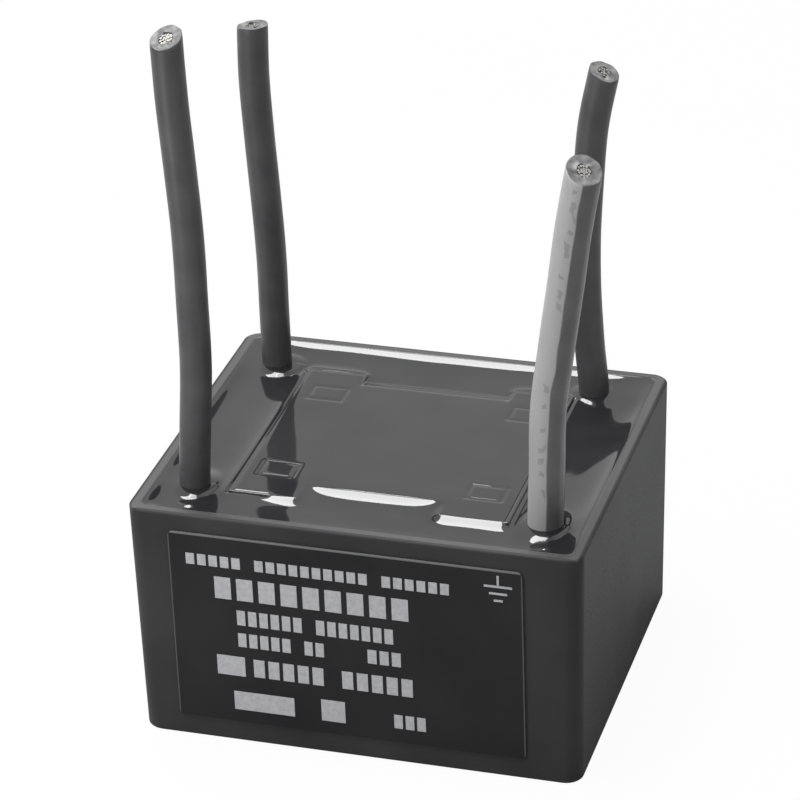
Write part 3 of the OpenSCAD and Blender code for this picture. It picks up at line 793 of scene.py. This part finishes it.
def wall_contact(x, y):
    """Which points lie at a wall, and how high the resin would stand at each point if it did."""
    corner = eased((np.abs(x) - RESIN_HIGH.x + CORNER_CLIMB) / CORNER_CLIMB)
    front = WALL_CONTACT["front"] + (WALL_CONTACT["side"] - WALL_CONTACT["front"]) * corner
    contact = np.where(y < -RESIN_HIGH.y + GRID, front, WALL_CONTACT["side"])
    back = y > RESIN_HIGH.y + BACK_REACH - 1.5 * GRID
    contact[back] = WALL_CONTACT["back"]
    wall = (np.abs(x) > RESIN_HIGH.x - GRID / 2) | (y < -RESIN_HIGH.y + GRID / 2) | back
    return wall, contact


def settle(height, level, pinned, apart):
    """Lets the points that aren't pinned settle between their neighbours and their level. Where
    apart holds, a point doesn't feel the neighbour on that side."""
    parity = np.add.outer(np.arange(height.shape[0]), np.arange(height.shape[1])) % 2
    pull = (GRID / CAPILLARY) ** 2
    for _ in range(RELAX_ROUNDS):
        for colour in (0, 1):
            around = sum(np.where(kept, height, np.roll(height, by, axis)) for by, axis, kept in apart)
            now = ~pinned & (parity == colour)
            rest = (around[now] + pull * level[now]) / (4 + pull)
            height[now] += RELAX_GAIN * (rest - height[now])


def beads_and_ripples(x, y):
    """The heights of the beads round the leads' feet and of the ripples before the front ones."""
    bead, ripple = np.zeros_like(x), np.zeros_like(x)
    ripple_h, ripple_off, ripple_w, ripple_half = RIPPLE
    for name, lead in LEADS.items():
        cx, cy, _ = lead["route"][0]
        span, (aside, half), shift = BEADS[name]
        off = np.hypot(x - cx - shift, y - cy) - lead["radius"]
        in_front = np.where(y < cy, bell(x - cx - aside, half), 0)
        near, far = (side + (front - side) * in_front for side, front in zip(BEAD_SIDE, span))
        t = (off - near) / (far - near) / BEAD_CORNER
        fallen = BEAD_CORNER * (np.logaddexp(0, t) - np.logaddexp(0, t - 1 / BEAD_CORNER))
        bead = np.maximum(bead, BEAD_H * (1 - fallen))
        if cy < 0:
            along = np.where(y < cy, bell(x - cx - aside, ripple_half), 0)
            ripple += ripple_h * along * bell(off - ripple_off, ripple_w)
    return bead, ripple


def cover_grooves(x, y):
    """How deep the surface dips round the post windows and at the cover's edges."""
    depth = np.zeros_like(x)
    gap_x, gap_y = (half + WINDOW_GAP for half in POST_HALF)
    for cy in (POST_FRONT_Y, POST_BACK_Y):
        for cx in (-POST_X, POST_X):
            turns = ((-1, -1), (1, -1), (1, 1), (-1, 1), (-1, -1))
            depth += groove(x, y, [(cx + a * gap_x, cy + b * gap_y) for a, b in turns], WINDOW_GROOVE)
    edge = cover_outline(-SEAM_OUTSET)
    tab_end = (-COVER_HIGH.x * TAB_SEAM_END, edge[9][1])
    for seam in (edge[2:5], edge[7:9], [*edge[8:10], tab_end]):
        depth += groove(x, y, seam, SEAM_GROOVE)
    for seam in (edge[3:6], edge[6:9]):
        depth += groove(x, y, seam, BACK_GROOVE)
    inwards = COVER_HIGH.x - np.abs(x)
    deepest, inside, outside = EDGE_ROLL
    rolled = np.where(inwards > 0, 1 - eased(inwards / inside), np.exp(-(inwards / outside) ** 2))
    return depth + deepest * rolled * ((y > COVER_LOW.y) & (y < COVER_HIGH.y))


def resin_heights(x, y):
    """The resin's surface: level in the middle of each pool, and drawn up where it wets a wall,
    the cover or a lead."""
    start = pool_level(x, y)
    wall, contact = wall_contact(x, y)
    film = inside_cover(x, y, 0)
    recess = (np.abs(x) < RECESS_BACK_HALF) & (y > BAR_BACK_Y) & (y < COVER_HIGH.y)
    height = np.where(film, FILM_Z, np.where(wall, contact, start))
    sides = ((1, 0), (-1, 0), (1, 1), (-1, 1))
    apart = [(by, axis, recess & np.roll(film, by, axis)) for by, axis in sides]
    settle(height, start + gap_fill(x, y), wall | film, apart)
    falling = FILM_Z - RECESS_FALL * (y - BAR_BACK_Y)
    height = blurred(np.where(recess, np.maximum(height, falling), height), BLUR / GRID)
    least = FILL_Z + SKIN_LEAST
    bead, ripple = beads_and_ripples(x, y)
    height = softly_higher(softly_higher(height, least), least + bead) + ripple
    uneven_h, uneven_size, seed = UNEVEN
    height += uneven_h * unevenness(x, y, uneven_size, seed) - cover_grooves(x, y)
    return np.maximum(height, least)


def skin_squares(x, y):
    """Which squares of the grid are shown, their faces, and the edges with one on only one side."""
    middle_x = (x[:-1, :-1] + x[1:, 1:]) / 2
    middle_y = (y[:-1, :-1] + y[1:, 1:]) / 2
    shown = np.ones_like(middle_x, bool)
    for lead in LEADS.values():
        cx, cy, _ = lead["route"][0]
        shown &= np.hypot(middle_x - cx, middle_y - cy) > HOLE_R
    squares = [tuple(square) for square in np.argwhere(shown).tolist()]
    known = set(squares)
    faces, rim = [], []
    for i, j in squares:
        a = i * x.shape[1] + j
        b, d = a + x.shape[1], a + 1
        c = b + 1
        faces.append((a, b, c, d))
        for (di, dj), edge in (((0, -1), (a, b)), ((1, 0), (b, c)), ((0, 1), (c, d)), ((-1, 0), (d, a))):
            if (i + di, j + dj) not in known:
                rim.append(edge)
    return known, faces, rim


def add_underside(points, faces, rim, is_shown):
    """Closes the sheet with a wall down from its rim and a flat underside, which has a step
    where it lies on the cover."""
    low_z = FILL_Z - SKIN_SUNK
    under = {}
    for p in (p for edge in rim for p in edge):
        if p not in under:
            under[p] = len(points)
            points.append((*points[p][:2], low_z))
    faces += [(p, under[p], under[q], q) for p, q in rim]
    step = cover_outline(HIDDEN_INSET)
    step_low = [len(points) + k for k in range(len(step))]
    step_high = [k + len(step) for k in step_low]
    points += [(*p, low_z) for p in step] + [(*p, COVER_HIGH.z - FILM_SUNK) for p in step]
    faces += ring_faces(2, len(step), step_low[0])

    low_ids = list(under.values()) + step_low
    place = {p: k for k, p in enumerate(low_ids)}
    edges = [(place[under[p]], place[under[q]]) for p, q in rim]
    edges += [(place[step_low[k - 1]], place[step_low[k]]) for k in range(len(step))]
    flat = [Vector(points[p][:2]) for p in low_ids]
    corners, _, triangles, origins, _, _ = delaunay_2d_cdt(flat, edges, [], 0, 1e-6)
    raised = dict(zip(step_low, step_high))
    for triangle in triangles:
        cx = sum(corners[k].x for k in triangle) / 3
        cy = sum(corners[k].y for k in triangle) / 3
        if is_shown(cx, cy):
            ids = [low_ids[origins[k][0]] for k in triangle]
            if inside_cover(np.array(cx), np.array(cy), HIDDEN_INSET):
                ids = [raised[p] for p in ids]
            faces.append(tuple(reversed(ids)))


def make_resin_surface():
    """The skin of the cast resin: one closed sheet over the pools and the cover."""
    half_x, half_y = RESIN_HIGH.x + OVERLAP, RESIN_HIGH.y + OVERLAP
    back_y = RESIN_HIGH.y + BACK_REACH
    xs = np.linspace(-half_x, half_x, round(2 * half_x / GRID) + 1)
    ys = np.linspace(-half_y, back_y, round((half_y + back_y) / GRID) + 1)
    x, y = np.meshgrid(xs, ys, indexing="ij")
    z = resin_heights(x, y)
    points = [tuple(p) for p in np.stack([x.ravel(), y.ravel(), z.ravel()], 1).tolist()]
    known, faces, rim = skin_squares(x, y)

    def is_shown(px, py):
        return (int((px + half_x) / (xs[1] - xs[0])), int((py + half_y) / (ys[1] - ys[0]))) in known

    add_underside(points, faces, rim, is_shown)
    mesh = mesh_of("resin_surface", points, faces)
    bm = bmesh.new()
    bm.from_mesh(mesh)
    bmesh.ops.delete(bm, geom=[v for v in bm.verts if not v.link_faces], context="VERTS")
    bmesh.ops.recalc_face_normals(bm, faces=bm.faces)
    open_edges = sum(len(e.link_faces) != 2 for e in bm.edges)
    if open_edges:
        raise RuntimeError(f"the resin's skin has {open_edges} open edges")
    bm.to_mesh(mesh)
    bm.free()
    surface = add_object("resin_surface", mesh)
    shade(surface, 60)
    return surface


# The leads

# Heights nearer to each other than this are taken as the same.
TOUCHING = 1e-4


def lead_points(lead, foot_z):
    """The route with its foot, as vectors in millimetres."""
    route = [Vector(p) for p in lead["route"]]
    return [Vector((route[0].x, route[0].y, foot_z)), *route]


def directions(points):
    """The way of the route at each point: straight up in the resin, then towards what follows."""
    found = []
    for i, p in enumerate(points):
        if p.z <= FILL_Z + TOUCHING:
            found.append(Vector((0, 0, 1)))
        else:
            found.append((points[min(i + 1, len(points) - 1)] - points[i - 1]).normalized())
    return found


def smooth_line(points, step):
    """Close points along one smooth curve through the route, each with its direction."""
    heading = directions(points)
    line = []
    for i in range(len(points) - 1):
        a, b = points[i], points[i + 1]
        long = (b - a).length
        count = max(2, math.ceil(long / step))
        for k in range(count + (i == len(points) - 2)):
            t = k / count
            h00, h10 = 2 * t ** 3 - 3 * t ** 2 + 1, t ** 3 - 2 * t ** 2 + t
            h01, h11 = -2 * t ** 3 + 3 * t ** 2, t ** 3 - t ** 2
            place = h00 * a + h10 * long * heading[i] + h01 * b + h11 * long * heading[i + 1]
            line.append(place)
    ways = []
    for k in range(len(line)):
        ways.append((line[min(k + 1, len(line) - 1)] - line[max(k - 1, 0)]).normalized())
    ways[0] = heading[0]
    return line, ways


def ring_axes(way):
    """Two directions square to the way and to each other."""
    across = (Vector((1, 0, 0)) - way.x * way).normalized()
    return across, way.cross(across)


def distances(line):
    """How far each point lies along the line."""
    found = [0.0]
    for a, b in zip(line, line[1:]):
        found.append(found[-1] + (b - a).length)
    return found


# The cut bends a lead's last CUT_SHEAR millimetres, and its end lies TIP_SUNK below the route's.
CUT_SHEAR = 3.5
TIP_SUNK = 0.1
# The insulation: its step along the line and its sides, how ragged the cut is at its outer and
# inner edge, the rings of the cut face as shares of the radius, how far the last outer ring is
# drawn in, how the face is lifted and dips, and the bore's play at the face and below it
TUBE_STEP = 0.5
TUBE_SIDES = 36
RAGGED_OUTER = 0.14
RAGGED_INNER = 0.22
FACE_SHARES = (0.97, 0.89, 0.75, 0.61, 0.5)
LIP_INSET = 0.02
FACE_LIFT = 0.02
FACE_DIP = 0.05
FACE_PLAY = 0.02
BORE_PLAY = 0.01
# Rings this much wider than the core have an uneven skin, by a share of their radius.
SKIN_MARGIN = 0.1
SKIN_UNEVEN = 0.012
# How fast the noise changes round a ring and round a cut, and over how many millimetres along
SKIN_TURN = 2
CUT_TURN = 1.6
SKIN_LENGTH = 5


def noise_round(angle, turn, along):
    """Smooth noise round a ring."""
    return noise.noise(Vector((turn * math.cos(angle), turn * math.sin(angle), along)))


def slope_at(lead, angle):
    """How much the cut rises towards a side."""
    return lead["cut"][0] * math.cos(angle) + lead["cut"][1] * math.sin(angle)


def sheared(left):
    """How much of the cut's slant a ring has that is left millimetres before the end."""
    return max(0.0, 1 - left / CUT_SHEAR) ** 2


def make_insulation(name, seed):
    """A lead's insulation: a tube with a slanted, slightly ragged cut at its end."""
    lead = LEADS[name]
    line, ways = smooth_line(lead_points(lead, STRIP_Z), TUBE_STEP)
    reach = distances(line)
    total = reach[-1]
    n = TUBE_SIDES
    points, around, along, cut = [], [], [], []

    def ring(k, radius, ruggedness, lift=0.0, fresh=0.0):
        across, over = ring_axes(ways[k])
        share = sheared(total - reach[k])
        for side in range(n):
            a = 2 * math.pi * side / n
            out = math.cos(a) * across + math.sin(a) * over
            skin = 1.0
            if radius > CORE_R + SKIN_MARGIN:
                skin += SKIN_UNEVEN * noise_round(a, SKIN_TURN, reach[k] / SKIN_LENGTH + seed)
            torn = ruggedness * noise_round(a, CUT_TURN, seed + radius)
            tip = share * (radius * slope_at(lead, a) + torn - TIP_SUNK) + lift
            points.append(line[k] + radius * skin * out + tip * ways[k])
            around.append(side / n)
            along.append(reach[k])
            cut.append(fresh)

    rows = len(line)
    for k in range(rows):
        ring(k, lead["radius"] - (LIP_INSET if k == rows - 1 else 0), RAGGED_OUTER)
    face_radii = [share * lead["radius"] for share in FACE_SHARES] + [CORE_R + FACE_PLAY]
    for i, radius in enumerate(face_radii):
        inwards = i / (len(face_radii) - 1)
        lift = FACE_LIFT - FACE_DIP * math.sin(math.pi * inwards)
        ring(rows - 1, radius, RAGGED_OUTER + (RAGGED_INNER - RAGGED_OUTER) * inwards, lift, 1.0)
    for k in range(rows - 2, -1, -1):
        ring(k, CORE_R + BORE_PLAY, 0)
    # The last ring joins the first, which closes the tube at its foot.
    faces = [tuple(p % len(points) for p in face) for face in ring_faces(len(points) // n + 1, n)]
    mesh = mesh_of(name + "_tube", points, faces)
    for key, values in (("around", around), ("along", along), ("cut", cut)):
        layer = mesh.attributes.new(key, "FLOAT", "POINT")
        layer.data.foreach_set("value", values)
    tube = add_object(name + "_tube", mesh)
    shade(tube, 50)
    return tube, line, total


# The strands lie in layers, each with its distance from the middle and its number of strands, and
# make a turn in STRAND_TURN millimetres. Their ends lie a little below the insulation's.
STRAND_STEP = 1.0
STRAND_R = 0.118
STRAND_TURN = 14.0
STRAND_SIDES = 7
STRAND_LAYERS = ((0.0, 1), (0.24, 6), (0.475, 12))
STRAND_SUNK = 0.03
STRAND_UNEVEN = 0.14


def make_strands(name, seed):
    """A lead's conductor: nineteen twisted strands, cut off unevenly with the insulation."""
    lead = LEADS[name]
    line, ways = smooth_line(lead_points(lead, TAIL_Z), STRAND_STEP)
    reach = distances(line)
    total = reach[-1]
    points, faces = [], []
    for layer, (offset, count) in enumerate(STRAND_LAYERS):
        for which in range(count):
            start = len(points)
            uneven = STRAND_UNEVEN * noise.noise(Vector((which * 1.7, layer * 3.1, seed)))
            for k, place in enumerate(line):
                across, over = ring_axes(ways[k])
                turn = 2 * math.pi * (which / count + reach[k] / STRAND_TURN)
                out = math.cos(turn) * across + math.sin(turn) * over
                share = sheared(total - reach[k])
                tip = share * (offset * slope_at(lead, turn) + uneven - TIP_SUNK - STRAND_SUNK)
                middle = place + offset * out + tip * ways[k]
                for side in range(STRAND_SIDES):
                    a = 2 * math.pi * side / STRAND_SIDES
                    lean = share * slope_at(lead, a) * ways[k]
                    points.append(middle + STRAND_R * (math.cos(a) * across + math.sin(a) * over + lean))
            faces += ring_faces(len(line), STRAND_SIDES, start)
            faces.append(tuple(reversed(range(start, start + STRAND_SIDES))))
            faces.append(tuple(range(len(points) - STRAND_SIDES, len(points))))
    strands = add_object(name + "_strands", mesh_of(name + "_strands", points, faces))
    shade(strands, 50)
    return strands


def make_leads(dark, striped, tinned):
    for seed, name in enumerate(LEADS):
        tube, line, long = make_insulation(name, 3.7 * seed + 1)
        strands = make_strands(name, 2.3 * seed + 5)
        tube.data.materials.append(striped if name == "earth_lead" else dark)
        strands.data.materials.append(tinned)
        for piece, node_name, slot in (
            (tube, name, "striped_insulation" if name == "earth_lead" else "dark_insulation"),
            (strands, name + "_core", "stranded_core"),
        ):
            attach(piece, "root")
            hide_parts(node_name)


# The floor, the lights and the surroundings

# How bright the surroundings are as light, and how much the floor glows where it is seen
# straight and in the resin
AMBIENT = 0.36
FLOOR_GLOW = 0.96
FLOOR_GLOSSY_GLOW = 0.15
# The floor lies a little below the case, so that no two faces coincide.
FLOOR_HALF = 1500
FLOOR_Z = -0.02
FLOOR_TONES = ((0.38, 0.38, 0.38), (0.42, 0.42, 0.42))


def seen_directly(made):
    """1 for rays that see the surroundings straight or in a mirror, and 0 for light."""
    path = add_node(made, "ShaderNodeLightPath").outputs
    mirrored = math_node(made, "MAXIMUM", path["Is Glossy Ray"], path["Is Transmission Ray"])
    return math_node(made, "MAXIMUM", path["Is Camera Ray"], mirrored)


def add_world():
    world = bpy.data.worlds.new("studio")
    world.use_nodes = True
    background = world.node_tree.nodes["Background"]
    background.inputs["Color"].default_value = (1, 1, 1, 1)
    connect(world, ranged(world, seen_directly(world), AMBIENT, 1, 0, 1), background, "Strength")
    bpy.context.scene.world = world


def add_floor():
    corners = [(a * FLOOR_HALF, b * FLOOR_HALF, FLOOR_Z) for a, b in ((-1, -1), (1, -1), (1, 1), (-1, 1))]
    floor = add_object("floor", mesh_of("floor", corners, [(0, 1, 2, 3)]))
    made, shader = finish("floor_white", roughness=0.7, specular=0.2)
    connect(made, mottled(made, grain(made, 60, 2), FLOOR_TONES), shader, "Base Color")
    glow = add_node(made, "ShaderNodeEmission", {"Color": (1, 1, 1, 1), "Strength": 1.0})
    to_camera = add_node(made, "ShaderNodeLightPath").outputs["Is Camera Ray"]
    straight = math_node(made, "MULTIPLY", to_camera, FLOOR_GLOW)
    mirrored = math_node(made, "MULTIPLY", seen_directly(made), FLOOR_GLOSSY_GLOW)
    blend = add_node(made, "ShaderNodeMixShader", {
        "Fac": math_node(made, "MAXIMUM", straight, mirrored),
        1: shader.outputs["BSDF"], 2: glow.outputs["Emission"],
    })
    connect(made, blend.outputs["Shader"], made.node_tree.nodes["Material Output"], "Surface")
    floor.data.materials.append(made)


def add_softbox(name, direction, distance, size, radiance, spread):
    """A flat lamp in a direction from the middle of the case, facing it."""
    data = bpy.data.lights.new(name, "AREA")
    data.shape = "RECTANGLE"
    data.size, data.size_y = (s * MM for s in size)
    data.energy = radiance * math.pi * data.size * data.size_y
    data.spread = math.radians(spread)
    lamp = bpy.data.objects.new(name, data)
    away = Vector(direction).normalized()
    lamp.location = (Vector((0, 0, CASE_HIGH.z)) + distance * away) * MM
    side = Vector((1, 0, 0))
    side = (side - side.dot(away) * away).normalized()
    lamp.matrix_world = Matrix.Translation(lamp.location) @ Matrix(
        (side, away.cross(side), away)
    ).transposed().to_4x4()
    bpy.context.scene.collection.objects.link(lamp)


# Each lamp has a direction towards it, its distance, its sizes across and along, its brightness,
# where 1 is a white surface, and how far its light fans out, in degrees.
LAMPS = [
    ("overhead", (-0.26, 0.25, 0.93), 600, (220, 300), 17.0, 180),
    ("above", (-0.26, -0.24, 0.965), 600, (300, 333), 14.0, 180),
    ("sky", (0.0, 0.407, 0.914), 900, (1400, 1400), 0.142, 76),
    ("left", (-0.52, -0.84, 0.16), 95, (40, 40), 5.6, 180),
    ("right", (0.90, -0.35, 0.25), 700, (400, 400), 1.1, 180),
]


def add_lamps():
    for lamp in LAMPS:
        add_softbox(*lamp)


# What is made

add_camera()
dark = extruded_vinyl("insulation_dark", dark_tint, roughness=(0.34, 0.46))
striped = extruded_vinyl("insulation_striped", striped_tint, roughness=(0.36, 0.5))
tinned = metal("strands_tinned", (0.15, 0.145, 0.14), (0.27, 0.265, 0.255), roughness=0.55, size=0.3)
make_leads(dark, striped, tinned)

case = make_case()
case.data.materials.append(case_plastic())
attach(case, "root")
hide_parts("case_shell")

resin = cast_resin()
surface = make_resin_surface()
surface.data.materials.append(resin)
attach(surface, "root")
dress("potting_resin", resin)

dress("holder_cover", wetted_cover())
soften("holder_cover", 0.12)
dress("component_holder", holder_plastic())
soften("component_holder", 0.08)
dress("rating_label", label_black())
soften("rating_label", 0.06, segments=2)
ink = matte("ink_pale", (0.26, 0.26, 0.27), (0.33, 0.33, 0.34), roughness=0.5, size=0.4, depth=0.004)
dress("label_print", ink)
dress("earth_mark", ink)

dress("circuit_board", woven_board())
dress("copper_tracks", metal("copper_bare", (0.75, 0.32, 0.16), (0.88, 0.45, 0.27), roughness=0.35))
dress("solder_joints", metal("solder_bright", (0.6, 0.61, 0.63), (0.8, 0.81, 0.82), roughness=0.25))
varistor = matte(
    "varistor_blue", (0.012, 0.06, 0.19), (0.02, 0.09, 0.26), roughness=0.28, size=1.5, depth=0.02,
    specular=0.5,
)
wire = metal("wire_tinned", (0.6, 0.6, 0.62), (0.76, 0.76, 0.78), roughness=0.3)
fuse = metal("fuse_plated", (0.6, 0.55, 0.42), (0.74, 0.69, 0.55), roughness=0.32)
for k in (1, 2, 3):
    dress(f"varistor_{k}", varistor)
    dress(f"varistor_legs_{k}", wire)
    dress(f"thermal_fuse_{k}", fuse)
dress("gas_tube_caps", wire)
ceramic = matte("ceramic_white", (0.72, 0.7, 0.66), (0.82, 0.8, 0.76), roughness=0.6, size=0.8, depth=0.01)
dress("gas_tube_body", ceramic)

add_floor()
add_world()
add_lamps()
bpy.context.scene.view_settings.view_transform = "Standard"
